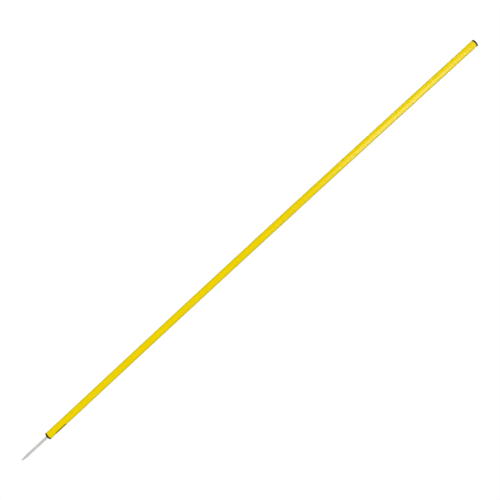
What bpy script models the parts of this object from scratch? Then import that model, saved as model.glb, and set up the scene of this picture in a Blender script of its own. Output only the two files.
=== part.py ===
"""Marker pole with a ground spike: a rigid plastic tube, a push-in cap at its top, a ribbed
plug at its foot, and a pointed steel spike seated in the plug's blind bore.

Metres, +Z up along the pole. The origin is on the axis at the underside of the base plug's
flange, which is ground level once the spike has been pushed in.
"""

from math import asin, cos, pi, radians, sin, sqrt

import bmesh
import bpy

# Clearance between facing surfaces of neighbouring pieces
FIT_GAP = 0.0003

# Tube
TUBE_LENGTH = 1.500
TUBE_DIAMETER = 0.020
TUBE_WALL = 0.0015
TUBE_RIM_CHAMFER = 0.0003

# What the cap and the base plug share: a flange that hides the tube's cut end, and a shank
# with annular barbs that grip its bore
FLANGE_OVERHANG = 0.00025
FLANGE_EDGE_RADIUS = 0.0006
BARB_HEIGHT = 0.0012
BARB_LAND = 0.0005
BARB_RAMP = 0.0022
SHANK_NECK = 0.0030
SHANK_LEAD_IN = 0.0015
AIR_SLOT_WIDTH = 0.0036
AIR_SLOT_DEPTH = 0.0006

# Top cap
CAP_FLANGE_THICKNESS = 0.0038
CAP_DOME_RISE = 0.0005
CAP_SHANK_LENGTH = 0.0180
CAP_BARB_PITCH = 0.0042
CAP_SHANK_WALL = 0.0016
CAP_ROOF = 0.0030

# Base plug
PLUG_FLANGE_THICKNESS = 0.0040
PLUG_BARB_PITCH = 0.0090
PLUG_END_WALL = 0.0060
PLUG_MOUTH_CHAMFER = 0.0004

# Ground spike
SPIKE_DIAMETER = 0.0070
SPIKE_EXPOSED_LENGTH = 0.0930
SPIKE_SEATED_LENGTH = 0.0600
SPIKE_OGIVE_LENGTH = 0.0260
SPIKE_NOSE_RADIUS = 0.0009
SPIKE_END_CHAMFER = 0.0008
GRIP_GROOVE_COUNT = 3
GRIP_GROOVE_PITCH = 0.0100
GRIP_GROOVE_WIDTH = 0.0024
GRIP_GROOVE_DEPTH = 0.0005

# Facets
SEGMENTS = 48
EDGE_STEPS = 3
DOME_STEPS = 4
OGIVE_STEPS = 8
NOSE_STEPS = 3
WELD_DISTANCE = 1e-6
SHARP_ANGLE = radians(32)

# Worked out from the sizes above
TUBE_RADIUS = TUBE_DIAMETER / 2
SHANK_RADIUS = TUBE_RADIUS - TUBE_WALL - FIT_GAP
SHANK_CORE_RADIUS = SHANK_RADIUS - BARB_HEIGHT
FLANGE_RADIUS = TUBE_RADIUS + FLANGE_OVERHANG
SPIKE_RADIUS = SPIKE_DIAMETER / 2
SPIKE_BORE_RADIUS = SPIKE_RADIUS + FIT_GAP
SPIKE_BORE_DEPTH = SPIKE_SEATED_LENGTH + FIT_GAP
PLUG_SHANK_LENGTH = SPIKE_BORE_DEPTH + PLUG_END_WALL - PLUG_FLANGE_THICKNESS
TUBE_FOOT_Z = PLUG_FLANGE_THICKNESS + FIT_GAP
CAP_SEAT_Z = TUBE_FOOT_Z + TUBE_LENGTH + FIT_GAP


def clear_scene():
    for old in list(bpy.data.objects):
        bpy.data.objects.remove(old, do_unlink=True)


def finish_material(name, colour, roughness, metallic=0.0):
    """A Principled material; colour is linear RGB."""
    made = bpy.data.materials.new(name)
    made.use_nodes = True
    shader = made.node_tree.nodes["Principled BSDF"]
    shader.inputs["Base Color"].default_value = (*colour, 1.0)
    shader.inputs["Roughness"].default_value = roughness
    shader.inputs["Metallic"].default_value = metallic
    return made


def arc(centre_r, centre_z, radius, start, end, steps):
    """Points (r, z) of an arc, both ends included; angles in radians from +r towards +z."""
    angles = [start + (end - start) * i / steps for i in range(steps + 1)]
    return [(centre_r + radius * cos(a), centre_z + radius * sin(a)) for a in angles]


def add_object(name, bm, material, parent, height):
    mesh = bpy.data.meshes.new(name)
    bm.to_mesh(mesh)
    bm.free()
    mesh.materials.append(material)
    mesh.shade_smooth()
    mesh.set_sharp_from_angle(angle=SHARP_ANGLE)
    made = bpy.data.objects.new(name, mesh)
    bpy.context.scene.collection.objects.link(made)
    made.parent = parent
    made.location.z = height
    return made


def turned(name, profile, material, parent, height, ring=False):
    """A solid turned about Z from (r, z) points; a ring's profile is a closed loop."""
    bm = bmesh.new()
    points = [bm.verts.new((r, 0.0, z)) for r, z in profile]
    ends = points[1:] + points[:1] if ring else points[1:]
    edges = [bm.edges.new(pair) for pair in zip(points, ends)]
    bmesh.ops.spin(
        bm,
        geom=points + edges,
        cent=(0.0, 0.0, 0.0),
        axis=(0.0, 0.0, 1.0),
        angle=2 * pi,
        steps=SEGMENTS,
    )
    bmesh.ops.remove_doubles(bm, verts=bm.verts, dist=WELD_DISTANCE)
    bmesh.ops.recalc_face_normals(bm, faces=bm.faces)
    return add_object(name, bm, material, parent, height)


def cut_air_slots(host, z_low, z_high):
    """Cuts two slots along the shank, which let air out of the tube as it is pushed in."""
    reach = BARB_HEIGHT + AIR_SLOT_DEPTH + FIT_GAP
    for side in (1, -1):
        bm = bmesh.new()
        bmesh.ops.create_cube(bm, size=1.0)
        bmesh.ops.scale(bm, vec=(reach, AIR_SLOT_WIDTH, z_high - z_low), verts=bm.verts)
        where = (side * (SHANK_RADIUS + FIT_GAP - reach / 2), 0.0, (z_high + z_low) / 2)
        bmesh.ops.translate(bm, vec=where, verts=bm.verts)
        name = f"{host.name}_air_slot_{'east' if side > 0 else 'west'}"
        cutter = add_object(name, bm, host.data.materials[0], host, 0.0)
        cutter.hide_render = True
        cutter.display_type = "WIRE"
        slot = host.modifiers.new(name, "BOOLEAN")
        slot.operation = "DIFFERENCE"
        slot.solver = "EXACT"
        slot.object = cutter


def barbed_side(length, pitch):
    """(r, distance from the flange) along a shank's outside, from flange to inner end."""
    side = [(SHANK_CORE_RADIUS, 0.0)]
    barb_length = BARB_LAND + BARB_RAMP
    count = int((length - SHANK_NECK - SHANK_LEAD_IN - barb_length) / pitch) + 1
    for i in range(count):
        start = SHANK_NECK + i * pitch
        side.append((SHANK_CORE_RADIUS, start))
        side.append((SHANK_RADIUS, start))
        side.append((SHANK_RADIUS, start + BARB_LAND))
        side.append((SHANK_CORE_RADIUS, start + barb_length))
    side.append((SHANK_CORE_RADIUS, length - SHANK_LEAD_IN))
    side.append((SHANK_CORE_RADIUS - SHANK_LEAD_IN / 2, length))
    return side


def pole_tube(material, parent):
    inner = TUBE_RADIUS - TUBE_WALL
    chamfer = TUBE_RIM_CHAMFER
    rim = [
        (TUBE_RADIUS, chamfer),
        (TUBE_RADIUS - chamfer, 0.0),
        (inner + chamfer, 0.0),
        (inner, chamfer),
    ]
    profile = rim + [(r, TUBE_LENGTH - z) for r, z in reversed(rim)]
    return turned("pole_tube", profile, material, parent, TUBE_FOOT_Z, ring=True)


def top_cap(material, parent):
    """The flange's underside is at the object's origin and the shank hangs below it."""
    hollow = SHANK_CORE_RADIUS - CAP_SHANK_WALL
    edge_r = FLANGE_RADIUS - FLANGE_EDGE_RADIUS
    edge_z = CAP_FLANGE_THICKNESS - FLANGE_EDGE_RADIUS
    dome = []
    for i in range(DOME_STEPS):
        share = i / DOME_STEPS
        dome.append((edge_r * share, CAP_FLANGE_THICKNESS + CAP_DOME_RISE * (1 - share**2)))
    edge = arc(edge_r, edge_z, FLANGE_EDGE_RADIUS, pi / 2, 0.0, EDGE_STEPS)
    shank = [(r, -distance) for r, distance in barbed_side(CAP_SHANK_LENGTH, CAP_BARB_PITCH)]
    roof_z = CAP_FLANGE_THICKNESS - CAP_ROOF
    inside = [(hollow, -CAP_SHANK_LENGTH), (hollow, roof_z), (0.0, roof_z)]
    profile = dome + edge + [(FLANGE_RADIUS, 0.0)] + shank + inside
    cap = turned("top_cap", profile, material, parent, CAP_SEAT_Z)
    cut_air_slots(cap, -CAP_SHANK_LENGTH - FIT_GAP, -SHANK_NECK / 2)
    return cap


def base_plug(material, parent):
    """The flange's underside is at the object's origin and the shank stands above it."""
    shank = barbed_side(PLUG_SHANK_LENGTH, PLUG_BARB_PITCH)
    top = PLUG_FLANGE_THICKNESS + PLUG_SHANK_LENGTH
    outside = [(r, PLUG_FLANGE_THICKNESS + distance) for r, distance in reversed(shank)]
    edge_r = FLANGE_RADIUS - FLANGE_EDGE_RADIUS
    edge = arc(edge_r, FLANGE_EDGE_RADIUS, FLANGE_EDGE_RADIUS, 0.0, -pi / 2, EDGE_STEPS)
    bore = [
        (SPIKE_BORE_RADIUS + PLUG_MOUTH_CHAMFER, 0.0),
        (SPIKE_BORE_RADIUS, PLUG_MOUTH_CHAMFER),
        (SPIKE_BORE_RADIUS, SPIKE_BORE_DEPTH),
        (0.0, SPIKE_BORE_DEPTH),
    ]
    profile = [(0.0, top)] + outside + [(FLANGE_RADIUS, PLUG_FLANGE_THICKNESS)] + edge + bore
    plug = turned("base_plug", profile, material, parent, 0.0)
    cut_air_slots(plug, PLUG_FLANGE_THICKNESS + SHANK_NECK / 2, top + FIT_GAP)
    return plug


def grip_grooves():
    """Rounds of grooves on the seated end, listed from the inner end down."""
    side = []
    for i in range(GRIP_GROOVE_COUNT):
        top = SPIKE_SEATED_LENGTH - (i + 1) * GRIP_GROOVE_PITCH
        side.append((SPIKE_RADIUS, top))
        side.append((SPIKE_RADIUS - GRIP_GROOVE_DEPTH, top - GRIP_GROOVE_DEPTH))
        side.append((SPIKE_RADIUS - GRIP_GROOVE_DEPTH, top - GRIP_GROOVE_WIDTH + GRIP_GROOVE_DEPTH))
        side.append((SPIKE_RADIUS, top - GRIP_GROOVE_WIDTH))
    return side


def ogive_point():
    """A tangent ogive that ends in a small round nose at the exposed length."""
    radius = (SPIKE_OGIVE_LENGTH**2 + SPIKE_RADIUS**2) / SPIKE_DIAMETER
    offset = radius - SPIKE_RADIUS
    drop = sqrt((radius - SPIKE_NOSE_RADIUS) ** 2 - offset**2)
    nose_z = SPIKE_NOSE_RADIUS - SPIKE_EXPOSED_LENGTH
    shoulder_z = nose_z + drop
    meet = asin(drop / (radius - SPIKE_NOSE_RADIUS))
    flank = arc(-offset, shoulder_z, radius, 0.0, -meet, OGIVE_STEPS)
    nose = arc(0.0, nose_z, SPIKE_NOSE_RADIUS, -meet, -pi / 2, NOSE_STEPS)
    return flank + nose[1:-1] + [(0.0, -SPIKE_EXPOSED_LENGTH)]


def ground_spike(material, parent):
    """The object's origin is at ground level, so the exposed part hangs below it."""
    inner_end = [
        (0.0, SPIKE_SEATED_LENGTH),
        (SPIKE_RADIUS - SPIKE_END_CHAMFER, SPIKE_SEATED_LENGTH),
        (SPIKE_RADIUS, SPIKE_SEATED_LENGTH - SPIKE_END_CHAMFER),
    ]
    profile = inner_end + grip_grooves() + ogive_point()
    return turned("ground_spike", profile, material, parent, 0.0)


def build():
    clear_scene()
    pole = bpy.data.objects.new("marker_pole", None)
    bpy.context.scene.collection.objects.link(pole)
    yellow = finish_material("yellow_pvc", (0.87, 0.66, 0.004), roughness=0.32)
    black = finish_material("black_plastic", (0.012, 0.011, 0.010), roughness=0.5)
    zinc = finish_material("zinc_steel", (0.56, 0.55, 0.52), roughness=0.45, metallic=0.9)
    pole_tube(yellow, pole)
    top_cap(black, pole)
    base_plug(black, pole)
    ground_spike(zinc, pole)


build()
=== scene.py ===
"""Looks of the marker pole: a glossy yellow extruded tube with a generic printed mark near its
foot, black moulded end pieces, and a dull zinc-plated spike. Metres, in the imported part's frame.
"""

from math import asin, atan2, cos, hypot, pi, radians, sin, sqrt, tan

import bmesh
import bpy
from mathutils import Matrix, Vector


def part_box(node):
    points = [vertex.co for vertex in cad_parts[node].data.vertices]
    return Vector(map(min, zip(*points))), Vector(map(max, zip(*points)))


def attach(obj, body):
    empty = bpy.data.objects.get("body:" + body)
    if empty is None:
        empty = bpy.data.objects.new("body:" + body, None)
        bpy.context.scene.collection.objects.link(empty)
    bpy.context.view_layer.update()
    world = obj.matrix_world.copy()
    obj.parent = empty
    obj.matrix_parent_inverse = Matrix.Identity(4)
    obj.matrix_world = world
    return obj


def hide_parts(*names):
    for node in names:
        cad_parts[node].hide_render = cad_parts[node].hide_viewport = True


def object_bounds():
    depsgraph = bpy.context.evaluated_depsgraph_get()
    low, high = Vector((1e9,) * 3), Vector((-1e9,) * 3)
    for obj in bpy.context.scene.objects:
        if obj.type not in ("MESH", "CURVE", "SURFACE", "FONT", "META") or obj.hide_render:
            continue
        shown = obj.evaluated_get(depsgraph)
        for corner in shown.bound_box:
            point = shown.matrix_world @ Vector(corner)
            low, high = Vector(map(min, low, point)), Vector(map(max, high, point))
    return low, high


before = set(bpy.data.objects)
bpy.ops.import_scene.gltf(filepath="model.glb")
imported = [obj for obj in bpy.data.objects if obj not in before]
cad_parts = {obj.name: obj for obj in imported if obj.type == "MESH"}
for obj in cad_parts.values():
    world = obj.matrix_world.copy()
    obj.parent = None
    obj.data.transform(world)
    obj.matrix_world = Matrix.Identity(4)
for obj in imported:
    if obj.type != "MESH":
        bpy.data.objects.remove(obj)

CAD_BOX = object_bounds()

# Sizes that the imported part's boxes don't hold
FIT_GAP = 0.0003
BARB_HEIGHT = 0.0012
BARB_LAND = 0.0005
BARB_RAMP = 0.0022
SHANK_NECK = 0.0030
SHANK_LEAD_IN = 0.0015
AIR_SLOT_WIDTH = 0.0036
AIR_SLOT_DEPTH = 0.0006
CAP_BARB_PITCH = 0.0042
CAP_SHANK_WALL = 0.0016
CAP_DOME_RISE = 0.0005
CAP_ROOF = 0.0030
PLUG_BARB_PITCH = 0.0090
PLUG_MOUTH_CHAMFER = 0.0004
SPIKE_OGIVE_LENGTH = 0.0260
SPIKE_NOSE_RADIUS = 0.0009
GRIP_GROOVE_COUNT = 3
GRIP_GROOVE_PITCH = 0.0100
GRIP_GROOVE_WIDTH = 0.0024
GRIP_GROOVE_DEPTH = 0.0005

# Small fillets, the parting ridge round each flange, and the gate mark on the cap
TUBE_RIM_FILLET = 0.0003
FLANGE_EDGE_FILLET = 0.0006
FLANGE_SEAT_FILLET = 0.00015
PARTING_RIDGE = 0.00005
PARTING_HALF_WIDTH = 0.00008
PARTING_FILLET = 0.00004
BARB_FILLET = 0.0001
SHANK_FILLET = 0.0002
RAMP_FILLET = 0.0003
HOLLOW_END_FILLET = 0.0005
BORE_END_FILLET = 0.0004
SPIKE_END_FILLET = 0.0008
GATE_PIP_RADIUS = 0.0005
GATE_DISH_RADIUS = 0.0012
GATE_SLOPE = 0.0001
GATE_PIP_DROP = 0.00005
GATE_DISH_DEPTH = 0.0002
GATE_RIM_DROP = 0.00002
GATE_FILLET = 0.00005

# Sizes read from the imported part
TUBE_LOW, TUBE_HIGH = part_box("pole_tube")
CAP_LOW, CAP_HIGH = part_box("top_cap")
PLUG_LOW, PLUG_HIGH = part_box("base_plug")
SPIKE_LOW, SPIKE_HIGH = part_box("ground_spike")
TUBE_RADIUS = TUBE_HIGH.x
TUBE_BORE = min(hypot(v.co.x, v.co.y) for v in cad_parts["pole_tube"].data.vertices)
FLANGE_RADIUS = CAP_HIGH.x
SPIKE_RADIUS = SPIKE_HIGH.x
BARB_RADIUS = TUBE_BORE - FIT_GAP
CORE_RADIUS = BARB_RADIUS - BARB_HEIGHT

# The tube isn't quite straight: between its two fittings it bows towards -X
TUBE_BOW = 0.0023

# Facets
TUBE_SEGMENTS = 128
CAP_SEGMENTS = 96
SPIKE_SEGMENTS = 64
FILLET_STEPS = 4
DOME_STEPS = 8
TUBE_SPANS = 60
SPIKE_SPAN = 0.01

# Maps: strips along the tube and the spike, and discs for what lies across their ends
TUBE_MAP_ROWS = 6
SPIKE_MAP_SPLIT = -5 * SPIKE_SPAN
MAP_MARGIN = 0.003
END_DISC_RADIUS = 0.03
ACROSS_THE_END = 0.9


# Shapes

def filleted(corners):
    """(r, z) points of an outline given as (r, z, fillet radius) corners, ends left sharp."""
    points = [corners[0][:2]]
    for before, corner, after in zip(corners, corners[1:], corners[2:]):
        points += corner_arc(before, corner, after)
    return points + [corners[-1][:2]]


def filleted_ring(corners):
    """The same for a closed outline."""
    points = []
    for i, corner in enumerate(corners):
        points += corner_arc(corners[i - 1], corner, corners[(i + 1) % len(corners)])
    return points


def corner_arc(before, corner, after):
    at = Vector(corner[:2])
    to_before = Vector(before[:2]) - at
    to_after = Vector(after[:2]) - at
    half = to_before.angle(to_after) / 2
    if corner[2] == 0 or half > radians(89):
        return [tuple(at)]
    room = 0.45 * min(to_before.length, to_after.length)
    reach = min(corner[2] / tan(half), room)
    radius = reach * tan(half)
    centre = at + (to_before.normalized() + to_after.normalized()).normalized() * radius / sin(half)
    start = at + to_before.normalized() * reach - centre
    end = at + to_after.normalized() * reach - centre
    swing = start.angle_signed(end)
    turn = [Matrix.Rotation(-swing * i / FILLET_STEPS, 2) for i in range(FILLET_STEPS + 1)]
    return [tuple(centre + m @ start) for m in turn]


def turned(name, outline, segments, ring=False):
    """A smooth solid turned about Z; the outline runs down the outer side, or round a closed ring."""
    bm = bmesh.new()
    rows = []
    for r, z in outline:
        if r < 1e-7:
            rows.append([bm.verts.new((0.0, 0.0, z))] * segments)
            continue
        angles = [2 * pi * i / segments for i in range(segments)]
        rows.append([bm.verts.new((r * cos(a), r * sin(a), z)) for a in angles])
    pairs = list(zip(rows, rows[1:] + rows[:1])) if ring else list(zip(rows, rows[1:]))
    for upper, lower in pairs:
        for i in range(segments):
            j = (i + 1) % segments
            corners = dict.fromkeys((upper[i], lower[i], lower[j], upper[j]))
            bm.faces.new(list(corners))
    bmesh.ops.recalc_face_normals(bm, faces=bm.faces)
    mesh = bpy.data.meshes.new(name)
    bm.to_mesh(mesh)
    bm.free()
    mesh.shade_smooth()
    made = bpy.data.objects.new(name, mesh)
    bpy.context.scene.collection.objects.link(made)
    return made


def barbed_side(length, pitch):
    """(r, distance from the flange, fillet) corners of a shank's outside."""
    side = [(CORE_RADIUS, 0.0, SHANK_FILLET)]
    barb_length = BARB_LAND + BARB_RAMP
    count = int((length - SHANK_NECK - SHANK_LEAD_IN - barb_length) / pitch) + 1
    for i in range(count):
        start = SHANK_NECK + i * pitch
        side.append((CORE_RADIUS, start, BARB_FILLET))
        side.append((BARB_RADIUS, start, BARB_FILLET))
        side.append((BARB_RADIUS, start + BARB_LAND, SHANK_FILLET))
        side.append((CORE_RADIUS, start + barb_length, RAMP_FILLET))
    side.append((CORE_RADIUS, length - SHANK_LEAD_IN, RAMP_FILLET))
    side.append((CORE_RADIUS - SHANK_LEAD_IN / 2, length, SHANK_FILLET))
    return side


def flange_side(edge, seat):
    """Corners of a flange's side, from its outer edge past the parting line to its seat."""
    body = FLANGE_RADIUS - PARTING_RIDGE
    parting = (edge + seat) / 2
    half = PARTING_HALF_WIDTH if edge > seat else -PARTING_HALF_WIDTH
    return [
        (body, edge, FLANGE_EDGE_FILLET),
        (body, parting + half, 0.0),
        (FLANGE_RADIUS, parting, PARTING_FILLET),
        (body, parting - half, 0.0),
        (body, seat, FLANGE_SEAT_FILLET),
    ]


def cut_air_slots(host, z_low, z_high):
    """Two slots along a shank, cut and applied."""
    reach = BARB_HEIGHT + AIR_SLOT_DEPTH + FIT_GAP
    bm = bmesh.new()
    for side in (1, -1):
        middle = (side * (BARB_RADIUS + FIT_GAP - reach / 2), 0.0, (z_low + z_high) / 2)
        size = Matrix.Diagonal((reach, AIR_SLOT_WIDTH, z_high - z_low, 1.0))
        bmesh.ops.create_cube(bm, size=1.0, matrix=Matrix.Translation(middle) @ size)
    mesh = bpy.data.meshes.new("air_slots")
    bm.to_mesh(mesh)
    bm.free()
    cutter = bpy.data.objects.new("air_slots", mesh)
    bpy.context.scene.collection.objects.link(cutter)
    slots = host.modifiers.new("air_slots", "BOOLEAN")
    slots.operation = "DIFFERENCE"
    slots.solver = "EXACT"
    slots.object = cutter
    apply_modifiers(host)
    bpy.data.objects.remove(cutter, do_unlink=True)


def apply_modifiers(piece):
    graph = bpy.context.evaluated_depsgraph_get()
    mesh = bpy.data.meshes.new_from_object(piece.evaluated_get(graph), depsgraph=graph)
    piece.modifiers.clear()
    piece.data = mesh


def keep_flats_flat(piece, sharp=40):
    """Normals follow the large faces, so that a fillet doesn't bend the light on a flat."""
    piece.data.set_sharp_from_angle(angle=radians(sharp))
    weighted = piece.modifiers.new("weighted_normals", "WEIGHTED_NORMAL")
    weighted.keep_sharp = True


def unroll(piece, strips):
    """A map of stacked strips, so that a long thin turned piece isn't squeezed into one line.

    Each strip is (lowest z, highest z, smallest r, height); a face goes into the first that holds it,
    and the faces across the two ends go into discs beside the last strip.
    """
    layer = piece.data.uv_layers.new(name="OFBake")
    widest = max(hypot(vertex.co.x, vertex.co.y) for vertex in piece.data.vertices)
    disc_scale = (END_DISC_RADIUS - MAP_MARGIN) / widest
    total = sum(strip[3] for strip in strips) / (1 - 2 * END_DISC_RADIUS)
    for face in piece.data.polygons:
        low = 0.0
        for z_low, z_high, r_least, height in strips:
            held = hypot(face.center.x, face.center.y) >= r_least
            if held and z_low <= face.center.z <= z_high:
                break
            low += height / total
        around = atan2(face.center.y, face.center.x)
        for loop, index in zip(face.loop_indices, face.vertices):
            at = piece.data.vertices[index].co
            if abs(face.normal.z) > ACROSS_THE_END:
                u = (0.25 if face.normal.z < 0 else 0.75) + at.x * disc_scale
                v = 1 - END_DISC_RADIUS + at.y * disc_scale
                layer.data[loop].uv = (u, v)
                continue
            off = atan2(at.y, at.x) - around if hypot(at.x, at.y) > 1e-7 else 0.0
            turn = (around + (off + pi) % (2 * pi) - pi) / (2 * pi) + 0.5
            along = (at.z - z_low) / (z_high - z_low)
            u = MAP_MARGIN + (1 - 2 * MAP_MARGIN) * along
            v = low + MAP_MARGIN + (height / total - 2 * MAP_MARGIN) * turn
            layer.data[loop].uv = (u, v)


def tube_piece():
    spans = [TUBE_LOW.z + (TUBE_HIGH.z - TUBE_LOW.z) * i / TUBE_SPANS for i in range(TUBE_SPANS + 1)]
    middle = spans[1:-1]
    rim = TUBE_RIM_FILLET
    corners = [(TUBE_RADIUS, TUBE_HIGH.z, rim)]
    corners += [(TUBE_RADIUS, z, 0.0) for z in reversed(middle)]
    corners += [(TUBE_RADIUS, TUBE_LOW.z, rim), (TUBE_BORE, TUBE_LOW.z, rim)]
    corners += [(TUBE_BORE, z, 0.0) for z in middle]
    corners += [(TUBE_BORE, TUBE_HIGH.z, rim)]
    tube = turned("yellow_tube", filleted_ring(corners), TUBE_SEGMENTS, ring=True)
    shell = (TUBE_RADIUS + TUBE_BORE) / 2
    breaks = spans[:: TUBE_SPANS // TUBE_MAP_ROWS]
    rows = [(low, high, shell, 1.0) for low, high in zip(breaks, breaks[1:])]
    unroll(tube, rows + [(TUBE_LOW.z, TUBE_HIGH.z, 0.0, 0.5)])
    for vertex in tube.data.vertices:
        share = (vertex.co.z - PLUG_HIGH.z) / (CAP_LOW.z - PLUG_HIGH.z)
        share = min(max(share, 0.0), 1.0)
        vertex.co.x -= TUBE_BOW * 4 * share * (1 - share)
    keep_flats_flat(tube)
    return tube


def cap_piece():
    seat = TUBE_HIGH.z + FIT_GAP
    edge = CAP_HIGH.z - CAP_DOME_RISE
    pip = CAP_HIGH.z - GATE_PIP_DROP
    dish = CAP_HIGH.z - GATE_DISH_DEPTH
    gate = [
        (0.0, pip, 0.0),
        (GATE_PIP_RADIUS, pip, GATE_FILLET * 2),
        (GATE_PIP_RADIUS + GATE_SLOPE, dish, GATE_FILLET),
        (GATE_DISH_RADIUS - GATE_SLOPE, dish, GATE_FILLET),
        (GATE_DISH_RADIUS, CAP_HIGH.z - GATE_RIM_DROP, GATE_FILLET),
    ]
    dome = []
    for i in range(2, DOME_STEPS):
        r = (FLANGE_RADIUS - FLANGE_EDGE_FILLET) * i / DOME_STEPS
        dome.append((r, edge + CAP_DOME_RISE * (1 - (r / FLANGE_RADIUS) ** 2), 0.0))
    shank = [(r, seat - d, f) for r, d, f in barbed_side(seat - CAP_LOW.z, CAP_BARB_PITCH)]
    hollow = CORE_RADIUS - CAP_SHANK_WALL
    roof = edge - CAP_ROOF
    inside = [
        (hollow, CAP_LOW.z, SHANK_FILLET),
        (hollow, roof, HOLLOW_END_FILLET),
        (0.0, roof, 0.0),
    ]
    outline = gate + dome + flange_side(edge, seat) + shank + inside
    cap = turned("black_top_cap", filleted(outline), CAP_SEGMENTS)
    cut_air_slots(cap, CAP_LOW.z - FIT_GAP, seat - SHANK_NECK / 2)
    keep_flats_flat(cap)
    return cap


def plug_piece():
    seat = TUBE_LOW.z - FIT_GAP
    shank = [(r, seat + d, f) for r, d, f in barbed_side(PLUG_HIGH.z - seat, PLUG_BARB_PITCH)]
    bore = SPIKE_RADIUS + FIT_GAP
    ceiling = SPIKE_HIGH.z + FIT_GAP
    inside = [
        (bore + PLUG_MOUTH_CHAMFER, PLUG_LOW.z, BARB_FILLET),
        (bore, PLUG_LOW.z + PLUG_MOUTH_CHAMFER, BARB_FILLET),
        (bore, ceiling, BORE_END_FILLET),
        (0.0, ceiling, 0.0),
    ]
    outside = shank[::-1] + flange_side(PLUG_LOW.z, seat)[::-1]
    outline = [(0.0, PLUG_HIGH.z, 0.0)] + outside + inside
    plug = turned("black_base_plug", filleted(outline), CAP_SEGMENTS)
    cut_air_slots(plug, seat + SHANK_NECK / 2, PLUG_HIGH.z + FIT_GAP)
    keep_flats_flat(plug)
    return plug


def ogive_point(steps=20, nose_steps=6):
    """A tangent ogive down to a small round nose at the spike's lowest point."""
    radius = (SPIKE_OGIVE_LENGTH**2 + SPIKE_RADIUS**2) / (2 * SPIKE_RADIUS)
    offset = radius - SPIKE_RADIUS
    drop = sqrt((radius - SPIKE_NOSE_RADIUS) ** 2 - offset**2)
    nose_z = SPIKE_LOW.z + SPIKE_NOSE_RADIUS
    shoulder_z = nose_z + drop
    meet = asin(drop / (radius - SPIKE_NOSE_RADIUS))
    flank = [meet * i / steps for i in range(steps + 1)]
    nose = [meet + (pi / 2 - meet) * i / nose_steps for i in range(1, nose_steps)]
    points = [(radius * cos(a) - offset, shoulder_z - radius * sin(a), 0.0) for a in flank]
    points += [(SPIKE_NOSE_RADIUS * cos(a), nose_z - SPIKE_NOSE_RADIUS * sin(a), 0.0) for a in nose]
    return points + [(0.0, SPIKE_LOW.z, 0.0)]


def spike_piece():
    corners = [(0.0, SPIKE_HIGH.z, 0.0), (SPIKE_RADIUS, SPIKE_HIGH.z, SPIKE_END_FILLET)]
    floor_r = SPIKE_RADIUS - GRIP_GROOVE_DEPTH
    for i in range(GRIP_GROOVE_COUNT):
        top = SPIKE_HIGH.z - (i + 1) * GRIP_GROOVE_PITCH
        bottom = top - GRIP_GROOVE_WIDTH
        corners.append((SPIKE_RADIUS, top, SHANK_FILLET))
        corners.append((floor_r, top - GRIP_GROOVE_DEPTH, SHANK_FILLET))
        corners.append((floor_r, bottom + GRIP_GROOVE_DEPTH, SHANK_FILLET))
        corners.append((SPIKE_RADIUS, bottom, SHANK_FILLET))
    straight = int((-SPIKE_LOW.z - SPIKE_OGIVE_LENGTH) / SPIKE_SPAN) + 1
    corners += [(SPIKE_RADIUS, -SPIKE_SPAN * i, 0.0) for i in range(straight)]
    spike = turned("steel_spike", filleted(corners + ogive_point()), SPIKE_SEGMENTS)
    exposed = [(SPIKE_LOW.z, SPIKE_MAP_SPLIT, 0.0, 1.0), (SPIKE_MAP_SPLIT, 0.0, 0.0, 1.0)]
    unroll(spike, exposed + [(0.0, SPIKE_HIGH.z, 0.0, 0.4)])
    keep_flats_flat(spike)
    return spike


# Materials

class Shader:
    """Short names for building one material's node tree."""

    def __init__(self, name):
        self.material = bpy.data.materials.new(name)
        self.material.use_nodes = True
        self.tree = self.material.node_tree
        self.surface = self.tree.nodes["Principled BSDF"]
        self.place = self.tree.nodes.new("ShaderNodeTexCoord").outputs["Object"]

    def node(self, kind, **settings):
        made = self.tree.nodes.new(kind)
        for name, value in settings.items():
            setattr(made, name, value)
        return made

    def link(self, value, socket):
        if isinstance(value, bpy.types.NodeSocket):
            self.tree.links.new(value, socket)
        else:
            socket.default_value = value

    def math(self, operation, *values, clamp=False):
        made = self.node("ShaderNodeMath", operation=operation, use_clamp=clamp)
        for value, socket in zip(values, made.inputs):
            self.link(value, socket)
        return made.outputs[0]

    def stretched(self, x, y, z):
        made = self.node("ShaderNodeVectorMath", operation="MULTIPLY")
        self.link(self.place, made.inputs[0])
        made.inputs[1].default_value = (x, y, z)
        return made.outputs[0]

    def noise(self, vector, scale, detail=3.0, roughness=0.55):
        made = self.node("ShaderNodeTexNoise")
        self.link(vector, made.inputs["Vector"])
        made.inputs["Scale"].default_value = scale
        made.inputs["Detail"].default_value = detail
        made.inputs["Roughness"].default_value = roughness
        return made.outputs["Fac"]

    def ramp(self, value, low, high, out_low=0.0, out_high=1.0):
        made = self.node("ShaderNodeMapRange", interpolation_type="SMOOTHSTEP")
        for v, name in ((value, "Value"), (low, "From Min"), (high, "From Max"),
                        (out_low, "To Min"), (out_high, "To Max")):
            self.link(v, made.inputs[name])
        return made.outputs["Result"]

    def mix(self, share, first, second, blend="MIX"):
        made = self.node("ShaderNodeMix", data_type="RGBA", blend_type=blend)
        self.link(share, made.inputs["Factor"])
        self.link(first, made.inputs["A"])
        self.link(second, made.inputs["B"])
        return made.outputs["Result"]

    def bump(self, height, depth, strength=1.0, onto=None):
        made = self.node("ShaderNodeBump")
        made.inputs["Strength"].default_value = strength
        made.inputs["Distance"].default_value = depth
        self.link(height, made.inputs["Height"])
        if onto is not None:
            self.link(onto, made.inputs["Normal"])
        return made.outputs["Normal"]

    def finish(self, colour, roughness, normal=None, **constants):
        self.link(colour, self.surface.inputs["Base Color"])
        self.link(roughness, self.surface.inputs["Roughness"])
        if normal is not None:
            self.link(normal, self.surface.inputs["Normal"])
        for name, value in constants.items():
            self.surface.inputs[name.replace("_", " ")].default_value = value
        return self.material


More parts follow.
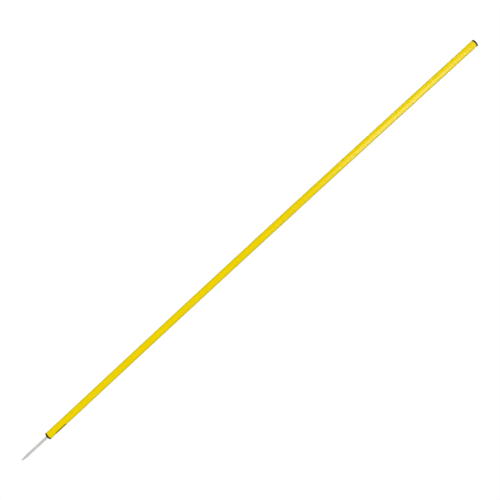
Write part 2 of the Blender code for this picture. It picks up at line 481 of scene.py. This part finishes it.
def hairlines(s, stretch, scale, width):
    """Thin wandering scratches: where a noise crosses its middle value."""
    crossing = s.math("SUBTRACT", s.noise(s.stretched(*stretch), scale, detail=2.0), 0.5)
    return s.ramp(s.math("ABSOLUTE", crossing), width, width / 3)


def rgb(r, g, b):
    return (r, g, b, 1.0)


YELLOW_DEEP = rgb(0.838, 0.614, 0.0006)
YELLOW_LIGHT = rgb(0.886, 0.668, 0.0018)
YELLOW_CLOUD = rgb(0.860, 0.650, 0.0010)
YELLOW_SCUFFED = rgb(0.90, 0.70, 0.03)
YELLOW_SCRATCHED = rgb(0.93, 0.76, 0.10)
# Painted sheen: a lighter, greener yellow put into the colour where the tube turns away from the view
YELLOW_PAINTED_SHEEN = rgb(0.865, 0.705, 0.0010)
INK = rgb(0.034, 0.014, 0.004)

BLACK_DEEP = rgb(0.0070, 0.0055, 0.0035)
BLACK_LIGHT = rgb(0.013, 0.0105, 0.0075)
BLACK_GRAIN = rgb(0.028, 0.024, 0.018)
BLACK_RUBBED = rgb(0.055, 0.050, 0.043)
BLACK_SCRATCHED = rgb(0.08, 0.077, 0.072)

ZINC_DARK = rgb(0.75, 0.74, 0.695)
ZINC_LIGHT = rgb(0.83, 0.82, 0.78)
ZINC_DRAWN = rgb(0.66, 0.65, 0.61)
ZINC_SPOT = rgb(0.40, 0.385, 0.35)
ZINC_SCRATCHED = rgb(0.93, 0.92, 0.90)

# The mark on the tube: how far round from the front, its place and size, and its bars
MARK_ANGLE = radians(56)
MARK_START = 0.0219
MARK_LENGTH = 0.0368
MARK_WIDTH = 0.0068
MARK_DISC_RADIUS = 0.0022
MARK_DISC_GAP = 0.0008
MARK_BAR_PITCH = 0.0021
MARK_BAR_SHARE = 0.66
MARK_SOFT_EDGE = 0.00006

TURNING_PITCH = 0.00045
TURNING_FADE = 0.003


def mark_mask(s):
    """1 where the generic mark is printed: a disc at its lower end, then a row of plain bars."""
    soft = MARK_SOFT_EDGE
    parts = s.node("ShaderNodeSeparateXYZ")
    s.link(s.place, parts.inputs[0])
    x, y, z = parts.outputs
    from_axis = s.math("SQRT", s.math("ADD", s.math("MULTIPLY", x, x), s.math("MULTIPLY", y, y)))
    outside = s.math("GREATER_THAN", from_axis, (TUBE_RADIUS + TUBE_BORE) / 2)
    angle = s.math("ARCTAN2", x, s.math("MULTIPLY", y, -1.0))
    across = s.math("MULTIPLY", s.math("SUBTRACT", angle, MARK_ANGLE), TUBE_RADIUS)
    along = s.math("SUBTRACT", z, MARK_START)

    joined = s.node("ShaderNodeCombineXYZ")
    s.link(across, joined.inputs[0])
    s.link(s.math("SUBTRACT", along, MARK_DISC_RADIUS), joined.inputs[1])
    from_disc = s.node("ShaderNodeVectorMath", operation="LENGTH")
    s.link(joined.outputs[0], from_disc.inputs[0])
    disc = s.ramp(from_disc.outputs["Value"], MARK_DISC_RADIUS + soft, MARK_DISC_RADIUS - soft)

    bars_from = 2 * MARK_DISC_RADIUS + MARK_DISC_GAP
    past_disc = s.math("SUBTRACT", along, bars_from)
    phase = s.math("PINGPONG", past_disc, MARK_BAR_PITCH / 2)
    bar_edge = MARK_BAR_PITCH * (1 - MARK_BAR_SHARE) / 2
    bar = s.ramp(phase, bar_edge, bar_edge + soft)
    which = s.math("FLOOR", s.math("DIVIDE", past_disc, MARK_BAR_PITCH))
    wide = s.noise(which, 7.3)
    half_width = s.ramp(wide, 0.35, 0.6, MARK_WIDTH * 0.38, MARK_WIDTH * 0.5)
    inside = s.ramp(s.math("SUBTRACT", half_width, s.math("ABSOLUTE", across)), -soft, soft)
    first = s.ramp(along, bars_from - soft, bars_from + soft)
    last = s.ramp(along, MARK_LENGTH + soft, MARK_LENGTH - soft)
    bars = s.math("MULTIPLY", s.math("MULTIPLY", bar, inside), s.math("MULTIPLY", first, last))
    return s.math("MULTIPLY", s.math("MAXIMUM", disc, bars), outside)


def yellow_pvc():
    """Extruded rigid plastic: die lines and faint streaks along the length, light handling wear, and
    a painted sheen where the surface turns away from the view.
    """
    s = Shader("extruded_yellow")
    die_lines = s.noise(s.stretched(1, 1, 0.004), 2600, detail=2.0)
    streaks = s.noise(s.stretched(1, 1, 0.02), 420, detail=4.0)
    cloud = s.noise(s.stretched(1, 1, 0.35), 22, detail=4.0)
    scuffs = s.noise(s.stretched(1, 1, 0.08), 900, detail=6.0, roughness=0.7)
    scuffed = s.ramp(scuffs, 0.62, 0.74)
    straight_hairs = hairlines(s, (1, 1, 0.018), 260, 0.006)
    slanting_hairs = hairlines(s, (0.6, 1, 0.035), 190, 0.004)
    worn = s.ramp(s.noise(s.stretched(1, 1, 0.5), 60, detail=2.0), 0.50, 0.62)
    hairs = s.math("MULTIPLY", s.math("MAXIMUM", straight_hairs, slanting_hairs), worn)
    painted_sheen_share = s.node("ShaderNodeLayerWeight").outputs["Facing"]
    worn_ink = s.ramp(s.noise(s.place, 2600, detail=3.0), 0.30, 0.36, 0.7, 1.0)
    ink = s.math("MULTIPLY", mark_mask(s), worn_ink)

    colour = s.mix(s.ramp(streaks, 0.3, 0.7), YELLOW_DEEP, YELLOW_LIGHT)
    colour = s.mix(s.ramp(cloud, 0.35, 0.7, 0.0, 0.30), colour, YELLOW_CLOUD)
    colour = s.mix(s.math("MULTIPLY", scuffed, 0.10), colour, YELLOW_SCUFFED)
    colour = s.mix(s.math("MULTIPLY", hairs, 0.30), colour, YELLOW_SCRATCHED)
    # Painted sheen: the colour turns lighter and greener as the surface faces away from the view,
    # standing in for a grazing reflection
    colour = s.mix(s.ramp(painted_sheen_share, 0.02, 0.36), colour, YELLOW_PAINTED_SHEEN)
    colour = s.mix(ink, colour, INK)

    roughness = s.ramp(streaks, 0.25, 0.75, 0.17, 0.24)
    roughness = s.math("ADD", roughness, s.math("MULTIPLY", scuffed, 0.08))
    roughness = s.math("ADD", roughness, s.math("MULTIPLY", hairs, 0.15))
    roughness = s.math("ADD", roughness, s.math("MULTIPLY", ink, 0.1))

    normal = s.bump(die_lines, 0.00003, 0.7)
    normal = s.bump(cloud, 0.00004, 0.25, onto=normal)
    normal = s.bump(s.math("MULTIPLY", hairs, -1.0), 0.00003, 0.5, onto=normal)
    return s.finish(colour, roughness, normal, IOR=1.5, Specular_IOR_Level=0.5)


def black_plastic():
    """Moulded polyethylene: fine spark-eroded grain, slightly greyed where it has been rubbed."""
    s = Shader("moulded_black")
    grain = s.noise(s.place, 5200, detail=2.0)
    coarse = s.noise(s.place, 2100, detail=3.0)
    cloud = s.noise(s.place, 180, detail=4.0)
    rubbed = s.ramp(s.noise(s.place, 620, detail=5.0, roughness=0.65), 0.54, 0.70)
    hairs = hairlines(s, (1, 0.12, 0.3), 260, 0.005)

    colour = s.mix(s.ramp(cloud, 0.3, 0.7), BLACK_DEEP, BLACK_LIGHT)
    colour = s.mix(s.ramp(coarse, 0.45, 0.75, 0.0, 0.35), colour, BLACK_GRAIN)
    colour = s.mix(s.math("MULTIPLY", rubbed, 0.18), colour, BLACK_RUBBED)
    colour = s.mix(s.math("MULTIPLY", hairs, 0.22), colour, BLACK_SCRATCHED)

    roughness = s.ramp(cloud, 0.3, 0.7, 0.40, 0.52)
    normal = s.bump(grain, 0.00003, 0.5)
    normal = s.bump(coarse, 0.00006, 0.5, onto=normal)
    return s.finish(colour, roughness, normal, IOR=1.5, Specular_IOR_Level=0.4)


def zinc_steel():
    """Dull zinc plate: mottled grey, drawn lines along the pin, fine turning rings at the point."""
    s = Shader("plated_steel")
    drawn = s.noise(s.stretched(1, 1, 0.01), 3600, detail=2.0)
    lines = s.noise(s.stretched(1, 1, 0.015), 1500, detail=3.0)
    mottle = s.noise(s.stretched(1, 1, 0.5), 420, detail=5.0, roughness=0.6)
    spots = s.ramp(s.noise(s.place, 1500, detail=3.0), 0.66, 0.74)
    hairs = hairlines(s, (1, 1, 0.25), 420, 0.010)
    parts = s.node("ShaderNodeSeparateXYZ")
    s.link(s.place, parts.inputs[0])
    z = parts.outputs[2]
    rings = s.math("SINE", s.math("MULTIPLY", z, 2 * pi / TURNING_PITCH))
    point_top = SPIKE_LOW.z + SPIKE_OGIVE_LENGTH
    point = s.ramp(z, point_top, point_top - TURNING_FADE)

    colour = s.mix(s.ramp(mottle, 0.3, 0.7), ZINC_DARK, ZINC_LIGHT)
    colour = s.mix(s.ramp(lines, 0.45, 0.75, 0.0, 0.5), colour, ZINC_DRAWN)
    colour = s.mix(s.math("MULTIPLY", spots, 0.25), colour, ZINC_SPOT)
    colour = s.mix(s.math("MULTIPLY", hairs, 0.45), colour, ZINC_SCRATCHED)

    roughness = s.ramp(mottle, 0.3, 0.7, 0.36, 0.52)
    roughness = s.math("SUBTRACT", roughness, s.math("MULTIPLY", point, 0.06))
    normal = s.bump(drawn, 0.00004, 0.7)
    normal = s.bump(s.math("MULTIPLY", rings, point), 0.00002, 0.7, onto=normal)
    return s.finish(colour, roughness, normal, Metallic=0.25)


# Studio: metres, and degrees of azimuth from the camera's side towards +X

CAMERA_DISTANCE = 2.26
FRAME_WIDTH = 1.2984
SENSOR = 36.0
POLE_SLOPE = radians(42.65)
CAMERA_SIDEWAYS = -0.00045
CAMERA_ABOVE_MIDDLE = 0.0059

FLOOR_HALF_SIZE = 30.0
FLOOR_CLEARANCE = 0.0002
FLOOR_GLOW = 0.70

LAMP_TARGET = Vector((0, 0, 0.8))
LAMP_DISTANCE = 2.2
SUN_SPREAD = radians(20)
BACK_AZIMUTH = 180
FILL_SUNS = [(azimuth, 20, 1.22) for azimuth in (72, 144, 216, 288)]
FILL_SUNS += [(0, 22, 2.84), (BACK_AZIMUTH, 24, 1.2)]
SOFT_BOXES = [("soft_box", 12.5, 1.85, 12.9), ("side_box", 60, 1.2, 9.5)]
BOX_ELEVATION = 24
BOX_HEIGHT = 0.8


def aim_camera():
    """Level with the pole's middle and square to it, rolled so that the pole runs up to the right."""
    data = bpy.data.cameras.new("camera")
    data.sensor_width = SENSOR
    data.lens = SENSOR * CAMERA_DISTANCE / FRAME_WIDTH
    data.clip_start = 0.05
    data.clip_end = 200.0
    camera = bpy.data.objects.new("camera", data)
    bpy.context.scene.collection.objects.link(camera)
    right = Vector((sin(POLE_SLOPE), 0.0, cos(POLE_SLOPE)))
    up = Vector((-cos(POLE_SLOPE), 0.0, sin(POLE_SLOPE)))
    back = Vector((0.0, -1.0, 0.0))
    turn = Matrix((right, up, back)).transposed().to_4x4()
    height = (CAD_BOX[0].z + CAD_BOX[1].z) / 2 + CAMERA_ABOVE_MIDDLE
    camera.matrix_world = Matrix.Translation((CAMERA_SIDEWAYS, -CAMERA_DISTANCE, height)) @ turn
    bpy.context.scene.camera = camera


def lay_floor():
    """A pale floor that glows a little, and that neither lights the pole nor shows in it."""
    bm = bmesh.new()
    bmesh.ops.create_grid(bm, x_segments=1, y_segments=1, size=FLOOR_HALF_SIZE)
    mesh = bpy.data.meshes.new("floor")
    bm.to_mesh(mesh)
    bm.free()
    floor = bpy.data.objects.new("floor", mesh)
    floor.location.z = CAD_BOX[0].z - FLOOR_CLEARANCE
    bpy.context.scene.collection.objects.link(floor)
    s = Shader("floor_white")
    tone = s.mix(s.noise(s.place, 3.0), rgb(0.33, 0.33, 0.33), rgb(0.35, 0.35, 0.35))
    s.surface.inputs["Emission Color"].default_value = rgb(1, 1, 1)
    s.surface.inputs["Emission Strength"].default_value = FLOOR_GLOW
    mesh.materials.append(s.finish(tone, 0.9))
    floor.visible_diffuse = False
    floor.visible_glossy = False


def light_world():
    """White behind the object, and no light from the world: the lamps do all of it."""
    world = bpy.data.worlds.new("studio")
    bpy.context.scene.world = world
    world.use_nodes = True
    tree = world.node_tree
    background = tree.nodes["Background"]
    background.inputs["Color"].default_value = rgb(1, 1, 1)
    path = tree.nodes.new("ShaderNodeLightPath")
    tree.links.new(path.outputs["Is Camera Ray"], background.inputs["Strength"])


def add_light(name, kind, azimuth, elevation, energy, **settings):
    """A light that shines on the pole's middle."""
    azimuth = radians(azimuth)
    elevation = radians(elevation)
    data = bpy.data.lights.new(name, kind)
    data.energy = energy
    for key, value in settings.items():
        setattr(data, key, value)
    light = bpy.data.objects.new(name, data)
    bpy.context.scene.collection.objects.link(light)
    away = Vector((sin(azimuth) * cos(elevation), -cos(azimuth) * cos(elevation), sin(elevation)))
    light.rotation_mode = "QUATERNION"
    light.rotation_quaternion = away.to_track_quat("Z", "Y")
    light.location = LAMP_TARGET + away * LAMP_DISTANCE
    return light


def light_studio():
    """Diffuse light comes from suns all round, and reflections only from the soft boxes."""
    light_world()
    for i, (azimuth, elevation, energy) in enumerate(FILL_SUNS):
        sun = add_light(f"fill_{i}", "SUN", azimuth, elevation, energy, angle=SUN_SPREAD)
        sun.visible_glossy = False
        sun.data.use_shadow = azimuth != BACK_AZIMUTH
    for name, azimuth, width, energy in SOFT_BOXES:
        size = {"shape": "RECTANGLE", "size": width, "size_y": BOX_HEIGHT}
        box = add_light(name, "AREA", azimuth, BOX_ELEVATION, energy, **size)
        box.visible_diffuse = False
        box.visible_camera = False


def dress(piece, node, material):
    piece.data.materials.clear()
    piece.data.materials.append(material)
    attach(piece, "root")
    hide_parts(node)


aim_camera()
lay_floor()
light_studio()
plastic = black_plastic()
dress(tube_piece(), "pole_tube", yellow_pvc())
dress(cap_piece(), "top_cap", plastic)
dress(plug_piece(), "base_plug", plastic)
dress(spike_piece(), "ground_spike", zinc_steel())

bpy.context.scene.view_settings.view_transform = "Standard"
